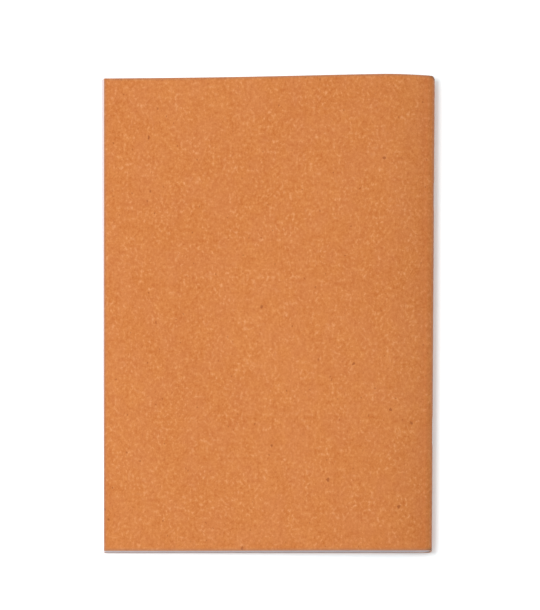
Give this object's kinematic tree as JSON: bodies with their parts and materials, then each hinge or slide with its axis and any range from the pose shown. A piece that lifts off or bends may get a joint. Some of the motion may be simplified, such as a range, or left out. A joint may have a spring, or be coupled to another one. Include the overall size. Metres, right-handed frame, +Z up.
{
  "type": "notebook",
  "caption": "Soft-cover notebook with a rounded, stapled spine and folded paper sheets, lying closed on its front cover; it opens flat about the spine and its leaves fan out",
  "frame": {"origin": "on the table under the middle of the closed notebook's box, with the front cover lying on Z=0", "axes": "+X from the fore-edge to the spine, +Y along the spine to the top of the pages, +Z up from the table, towards the back cover"},
  "size_m": [0.1446, 0.21, 0.01],
  "materials": {
    "cover": "matte orange-tan leather-fibre board, mottled",
    "paper": "uncoated off-white paper",
    "staple": "bright drawn wire"
  },
  "bodies": {
    "front_cover": {"front_cover": "cover"},
    "binding": {"cover_spine": "cover", "sheet_01_fold": "paper", "sheet_02_fold": "paper", "sheet_03_fold": "paper", "sheet_04_fold": "paper", "sheet_05_fold": "paper", "sheet_06_fold": "paper", "sheet_07_fold": "paper", "sheet_08_fold": "paper", "sheet_09_fold": "paper", "sheet_10_fold": "paper", "sheet_11_fold": "paper", "sheet_12_fold": "paper", "sheet_13_fold": "paper", "sheet_14_fold": "paper", "sheet_15_fold": "paper", "sheet_16_fold": "paper", "lower_staple": "staple", "upper_staple": "staple"},
    "back_cover": {"back_cover": "cover"},
    "sheet_01_front_leaf": {"sheet_01_front_leaf": "paper"},
    "sheet_01_back_leaf": {"sheet_01_back_leaf": "paper"},
    "sheet_02_front_leaf": {"sheet_02_front_leaf": "paper"},
    "sheet_02_back_leaf": {"sheet_02_back_leaf": "paper"},
    "sheet_03_front_leaf": {"sheet_03_front_leaf": "paper"},
    "sheet_03_back_leaf": {"sheet_03_back_leaf": "paper"},
    "sheet_04_front_leaf": {"sheet_04_front_leaf": "paper"},
    "sheet_04_back_leaf": {"sheet_04_back_leaf": "paper"},
    "sheet_05_front_leaf": {"sheet_05_front_leaf": "paper"},
    "sheet_05_back_leaf": {"sheet_05_back_leaf": "paper"},
    "sheet_06_front_leaf": {"sheet_06_front_leaf": "paper"},
    "sheet_06_back_leaf": {"sheet_06_back_leaf": "paper"},
    "sheet_07_front_leaf": {"sheet_07_front_leaf": "paper"},
    "sheet_07_back_leaf": {"sheet_07_back_leaf": "paper"},
    "sheet_08_front_leaf": {"sheet_08_front_leaf": "paper"},
    "sheet_08_back_leaf": {"sheet_08_back_leaf": "paper"},
    "sheet_09_front_leaf": {"sheet_09_front_leaf": "paper"},
    "sheet_09_back_leaf": {"sheet_09_back_leaf": "paper"},
    "sheet_10_front_leaf": {"sheet_10_front_leaf": "paper"},
    "sheet_10_back_leaf": {"sheet_10_back_leaf": "paper"},
    "sheet_11_front_leaf": {"sheet_11_front_leaf": "paper"},
    "sheet_11_back_leaf": {"sheet_11_back_leaf": "paper"},
    "sheet_12_front_leaf": {"sheet_12_front_leaf": "paper"},
    "sheet_12_back_leaf": {"sheet_12_back_leaf": "paper"},
    "sheet_13_front_leaf": {"sheet_13_front_leaf": "paper"},
    "sheet_13_back_leaf": {"sheet_13_back_leaf": "paper"},
    "sheet_14_front_leaf": {"sheet_14_front_leaf": "paper"},
    "sheet_14_back_leaf": {"sheet_14_back_leaf": "paper"},
    "sheet_15_front_leaf": {"sheet_15_front_leaf": "paper"},
    "sheet_15_back_leaf": {"sheet_15_back_leaf": "paper"},
    "sheet_16_front_leaf": {"sheet_16_front_leaf": "paper"},
    "sheet_16_back_leaf": {"sheet_16_back_leaf": "paper"}
  },
  "joints": [
    {"name": "binding_hinge", "type": "hinge", "parent": "front_cover", "child": "binding", "pos_m": [0.06849, 0, 0.005], "axis": [0, 1, 0], "range_deg": [0, 90]},
    {"name": "back_cover_hinge", "type": "hinge", "parent": "binding", "child": "back_cover", "pos_m": [0.06849, 0, 0.005], "axis": [0, 1, 0], "range_deg": [0, 90]},
    {"name": "sheet_01_front_leaf_hinge", "type": "hinge", "parent": "binding", "child": "sheet_01_front_leaf", "pos_m": [0.06849, 0, 0.005], "axis": [0, 1, 0], "range_deg": [-55.8, 0]},
    {"name": "sheet_01_back_leaf_hinge", "type": "hinge", "parent": "binding", "child": "sheet_01_back_leaf", "pos_m": [0.06849, 0, 0.005], "axis": [0, 1, 0], "range_deg": [0, 55.8]},
    {"name": "sheet_02_front_leaf_hinge", "type": "hinge", "parent": "binding", "child": "sheet_02_front_leaf", "pos_m": [0.06849, 0, 0.005], "axis": [0, 1, 0], "range_deg": [-57.96, 0]},
    {"name": "sheet_02_back_leaf_hinge", "type": "hinge", "parent": "binding", "child": "sheet_02_back_leaf", "pos_m": [0.06849, 0, 0.005], "axis": [0, 1, 0], "range_deg": [0, 57.96]},
    {"name": "sheet_03_front_leaf_hinge", "type": "hinge", "parent": "binding", "child": "sheet_03_front_leaf", "pos_m": [0.06849, 0, 0.005], "axis": [0, 1, 0], "range_deg": [-60.12, 0]},
    {"name": "sheet_03_back_leaf_hinge", "type": "hinge", "parent": "binding", "child": "sheet_03_back_leaf", "pos_m": [0.06849, 0, 0.005], "axis": [0, 1, 0], "range_deg": [0, 60.12]},
    {"name": "sheet_04_front_leaf_hinge", "type": "hinge", "parent": "binding", "child": "sheet_04_front_leaf", "pos_m": [0.06849, 0, 0.005], "axis": [0, 1, 0], "range_deg": [-62.28, 0]},
    {"name": "sheet_04_back_leaf_hinge", "type": "hinge", "parent": "binding", "child": "sheet_04_back_leaf", "pos_m": [0.06849, 0, 0.005], "axis": [0, 1, 0], "range_deg": [0, 62.28]},
    {"name": "sheet_05_front_leaf_hinge", "type": "hinge", "parent": "binding", "child": "sheet_05_front_leaf", "pos_m": [0.06849, 0, 0.005], "axis": [0, 1, 0], "range_deg": [-64.44, 0]},
    {"name": "sheet_05_back_leaf_hinge", "type": "hinge", "parent": "binding", "child": "sheet_05_back_leaf", "pos_m": [0.06849, 0, 0.005], "axis": [0, 1, 0], "range_deg": [0, 64.44]},
    {"name": "sheet_06_front_leaf_hinge", "type": "hinge", "parent": "binding", "child": "sheet_06_front_leaf", "pos_m": [0.06849, 0, 0.005], "axis": [0, 1, 0], "range_deg": [-66.6, 0]},
    {"name": "sheet_06_back_leaf_hinge", "type": "hinge", "parent": "binding", "child": "sheet_06_back_leaf", "pos_m": [0.06849, 0, 0.005], "axis": [0, 1, 0], "range_deg": [0, 66.6]},
    {"name": "sheet_07_front_leaf_hinge", "type": "hinge", "parent": "binding", "child": "sheet_07_front_leaf", "pos_m": [0.06849, 0, 0.005], "axis": [0, 1, 0], "range_deg": [-68.76, 0]},
    {"name": "sheet_07_back_leaf_hinge", "type": "hinge", "parent": "binding", "child": "sheet_07_back_leaf", "pos_m": [0.06849, 0, 0.005], "axis": [0, 1, 0], "range_deg": [0, 68.76]},
    {"name": "sheet_08_front_leaf_hinge", "type": "hinge", "parent": "binding", "child": "sheet_08_front_leaf", "pos_m": [0.06849, 0, 0.005], "axis": [0, 1, 0], "range_deg": [-70.92, 0]},
    {"name": "sheet_08_back_leaf_hinge", "type": "hinge", "parent": "binding", "child": "sheet_08_back_leaf", "pos_m": [0.06849, 0, 0.005], "axis": [0, 1, 0], "range_deg": [0, 70.92]},
    {"name": "sheet_09_front_leaf_hinge", "type": "hinge", "parent": "binding", "child": "sheet_09_front_leaf", "pos_m": [0.06849, 0, 0.005], "axis": [0, 1, 0], "range_deg": [-73.08, 0]},
    {"name": "sheet_09_back_leaf_hinge", "type": "hinge", "parent": "binding", "child": "sheet_09_back_leaf", "pos_m": [0.06849, 0, 0.005], "axis": [0, 1, 0], "range_deg": [0, 73.08]},
    {"name": "sheet_10_front_leaf_hinge", "type": "hinge", "parent": "binding", "child": "sheet_10_front_leaf", "pos_m": [0.06849, 0, 0.005], "axis": [0, 1, 0], "range_deg": [-75.24, 0]},
    {"name": "sheet_10_back_leaf_hinge", "type": "hinge", "parent": "binding", "child": "sheet_10_back_leaf", "pos_m": [0.06849, 0, 0.005], "axis": [0, 1, 0], "range_deg": [0, 75.24]},
    {"name": "sheet_11_front_leaf_hinge", "type": "hinge", "parent": "binding", "child": "sheet_11_front_leaf", "pos_m": [0.06849, 0, 0.005], "axis": [0, 1, 0], "range_deg": [-77.4, 0]},
    {"name": "sheet_11_back_leaf_hinge", "type": "hinge", "parent": "binding", "child": "sheet_11_back_leaf", "pos_m": [0.06849, 0, 0.005], "axis": [0, 1, 0], "range_deg": [0, 77.4]},
    {"name": "sheet_12_front_leaf_hinge", "type": "hinge", "parent": "binding", "child": "sheet_12_front_leaf", "pos_m": [0.06849, 0, 0.005], "axis": [0, 1, 0], "range_deg": [-79.56, 0]},
    {"name": "sheet_12_back_leaf_hinge", "type": "hinge", "parent": "binding", "child": "sheet_12_back_leaf", "pos_m": [0.06849, 0, 0.005], "axis": [0, 1, 0], "range_deg": [0, 79.56]},
    {"name": "sheet_13_front_leaf_hinge", "type": "hinge", "parent": "binding", "child": "sheet_13_front_leaf", "pos_m": [0.06849, 0, 0.005], "axis": [0, 1, 0], "range_deg": [-81.72, 0]},
    {"name": "sheet_13_back_leaf_hinge", "type": "hinge", "parent": "binding", "child": "sheet_13_back_leaf", "pos_m": [0.06849, 0, 0.005], "axis": [0, 1, 0], "range_deg": [0, 81.72]},
    {"name": "sheet_14_front_leaf_hinge", "type": "hinge", "parent": "binding", "child": "sheet_14_front_leaf", "pos_m": [0.06849, 0, 0.005], "axis": [0, 1, 0], "range_deg": [-83.88, 0]},
    {"name": "sheet_14_back_leaf_hinge", "type": "hinge", "parent": "binding", "child": "sheet_14_back_leaf", "pos_m": [0.06849, 0, 0.005], "axis": [0, 1, 0], "range_deg": [0, 83.88]},
    {"name": "sheet_15_front_leaf_hinge", "type": "hinge", "parent": "binding", "child": "sheet_15_front_leaf", "pos_m": [0.06849, 0, 0.005], "axis": [0, 1, 0], "range_deg": [-86.04, 0]},
    {"name": "sheet_15_back_leaf_hinge", "type": "hinge", "parent": "binding", "child": "sheet_15_back_leaf", "pos_m": [0.06849, 0, 0.005], "axis": [0, 1, 0], "range_deg": [0, 86.04]},
    {"name": "sheet_16_front_leaf_hinge", "type": "hinge", "parent": "binding", "child": "sheet_16_front_leaf", "pos_m": [0.06849, 0, 0.005], "axis": [0, 1, 0], "range_deg": [-88.2, 0]},
    {"name": "sheet_16_back_leaf_hinge", "type": "hinge", "parent": "binding", "child": "sheet_16_back_leaf", "pos_m": [0.06849, 0, 0.005], "axis": [0, 1, 0], "range_deg": [0, 88.2]}
  ],
  "couplings": [
    {"joint": "binding_hinge", "follows": "back_cover_hinge", "ratio": 1},
    {"joint": "sheet_01_front_leaf_hinge", "follows": "back_cover_hinge", "ratio": -0.62},
    {"joint": "sheet_01_back_leaf_hinge", "follows": "back_cover_hinge", "ratio": 0.62},
    {"joint": "sheet_02_front_leaf_hinge", "follows": "back_cover_hinge", "ratio": -0.644},
    {"joint": "sheet_02_back_leaf_hinge", "follows": "back_cover_hinge", "ratio": 0.644},
    {"joint": "sheet_03_front_leaf_hinge", "follows": "back_cover_hinge", "ratio": -0.668},
    {"joint": "sheet_03_back_leaf_hinge", "follows": "back_cover_hinge", "ratio": 0.668},
    {"joint": "sheet_04_front_leaf_hinge", "follows": "back_cover_hinge", "ratio": -0.692},
    {"joint": "sheet_04_back_leaf_hinge", "follows": "back_cover_hinge", "ratio": 0.692},
    {"joint": "sheet_05_front_leaf_hinge", "follows": "back_cover_hinge", "ratio": -0.716},
    {"joint": "sheet_05_back_leaf_hinge", "follows": "back_cover_hinge", "ratio": 0.716},
    {"joint": "sheet_06_front_leaf_hinge", "follows": "back_cover_hinge", "ratio": -0.74},
    {"joint": "sheet_06_back_leaf_hinge", "follows": "back_cover_hinge", "ratio": 0.74},
    {"joint": "sheet_07_front_leaf_hinge", "follows": "back_cover_hinge", "ratio": -0.764},
    {"joint": "sheet_07_back_leaf_hinge", "follows": "back_cover_hinge", "ratio": 0.764},
    {"joint": "sheet_08_front_leaf_hinge", "follows": "back_cover_hinge", "ratio": -0.788},
    {"joint": "sheet_08_back_leaf_hinge", "follows": "back_cover_hinge", "ratio": 0.788},
    {"joint": "sheet_09_front_leaf_hinge", "follows": "back_cover_hinge", "ratio": -0.812},
    {"joint": "sheet_09_back_leaf_hinge", "follows": "back_cover_hinge", "ratio": 0.812},
    {"joint": "sheet_10_front_leaf_hinge", "follows": "back_cover_hinge", "ratio": -0.836},
    {"joint": "sheet_10_back_leaf_hinge", "follows": "back_cover_hinge", "ratio": 0.836},
    {"joint": "sheet_11_front_leaf_hinge", "follows": "back_cover_hinge", "ratio": -0.86},
    {"joint": "sheet_11_back_leaf_hinge", "follows": "back_cover_hinge", "ratio": 0.86},
    {"joint": "sheet_12_front_leaf_hinge", "follows": "back_cover_hinge", "ratio": -0.884},
    {"joint": "sheet_12_back_leaf_hinge", "follows": "back_cover_hinge", "ratio": 0.884},
    {"joint": "sheet_13_front_leaf_hinge", "follows": "back_cover_hinge", "ratio": -0.908},
    {"joint": "sheet_13_back_leaf_hinge", "follows": "back_cover_hinge", "ratio": 0.908},
    {"joint": "sheet_14_front_leaf_hinge", "follows": "back_cover_hinge", "ratio": -0.932},
    {"joint": "sheet_14_back_leaf_hinge", "follows": "back_cover_hinge", "ratio": 0.932},
    {"joint": "sheet_15_front_leaf_hinge", "follows": "back_cover_hinge", "ratio": -0.956},
    {"joint": "sheet_15_back_leaf_hinge", "follows": "back_cover_hinge", "ratio": 0.956},
    {"joint": "sheet_16_front_leaf_hinge", "follows": "back_cover_hinge", "ratio": -0.98},
    {"joint": "sheet_16_back_leaf_hinge", "follows": "back_cover_hinge", "ratio": 0.98}
  ]
}
